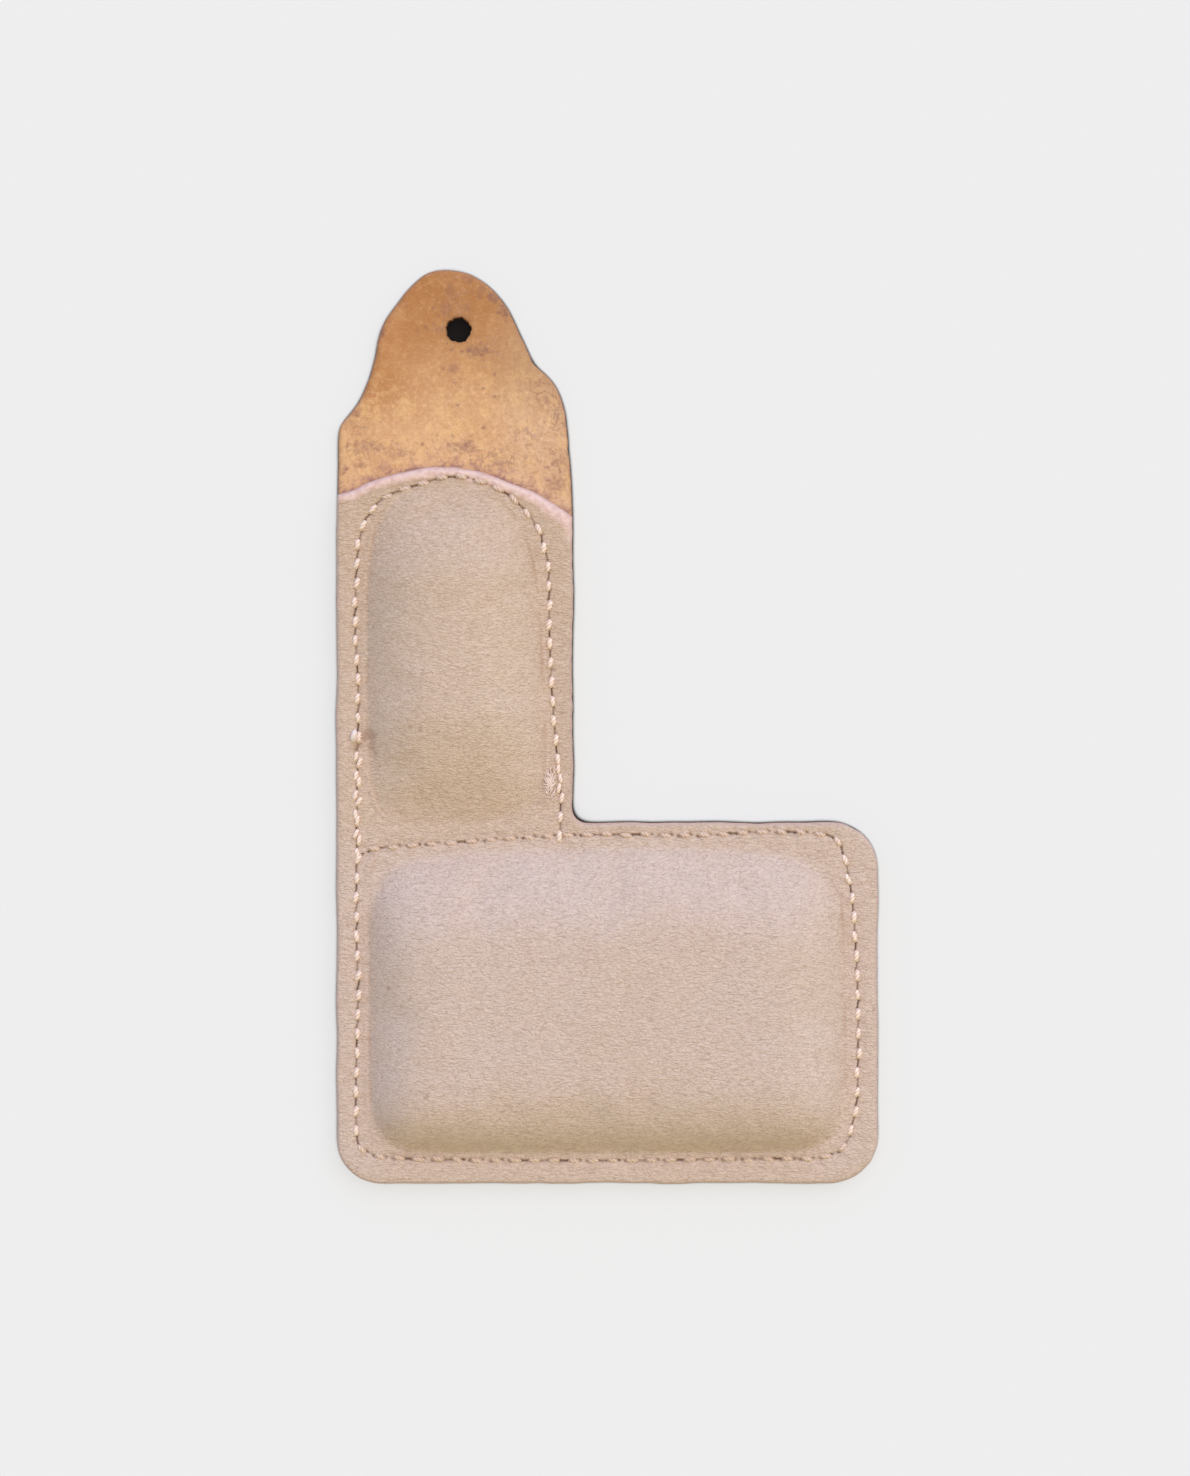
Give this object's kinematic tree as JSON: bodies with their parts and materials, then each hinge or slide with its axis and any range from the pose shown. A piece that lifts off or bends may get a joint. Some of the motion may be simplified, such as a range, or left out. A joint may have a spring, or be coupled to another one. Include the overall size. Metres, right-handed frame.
{
  "type": "padded leather hand guard",
  "caption": "Flat L of tan leather with a punched tongue, under a soft stitched cover moulded over a wide pad and a narrow pad.",
  "frame": {"origin": "middle of the plan, on the plane that the backing rests on", "axes": "+X across the wide palm end, +Y from the palm end to the punched tongue, +Z out of the padded side"},
  "size_m": [0.084, 0.142, 0.0097],
  "materials": {
    "tan_leather": "matt, fibrous, undyed",
    "cover_leather": "soft, fine grain, low sheen",
    "filler": "matt felt",
    "thread": "twisted, slightly waxed"
  },
  "bodies": {
    "palm": {"palm_backing": "tan_leather", "palm_cover": "cover_leather", "palm_filler": "filler", "palm_seam_needle_thread": "thread", "palm_seam_bobbin_thread": "thread"},
    "finger": {"finger_backing": "tan_leather", "finger_cover": "cover_leather", "finger_filler": "filler", "finger_seam_needle_thread": "thread", "finger_seam_bobbin_thread": "thread"},
    "tongue": {"tongue": "tan_leather"}
  },
  "joints": [
    {"name": "finger_fold", "type": "hinge", "parent": "palm", "child": "finger", "pos_m": [-0.0237, -0.01575, 0.0017], "axis": [0.9957, 0.0924, 0], "range_deg": [-60, 75], "stiffness_Nm_per_rad": 0.05},
    {"name": "tongue_fold", "type": "hinge", "parent": "finger", "child": "tongue", "pos_m": [-0.0237, 0.0443, 0.001], "axis": [1, 0, 0], "range_deg": [-90, 90], "stiffness_Nm_per_rad": 0.01}
  ]
}
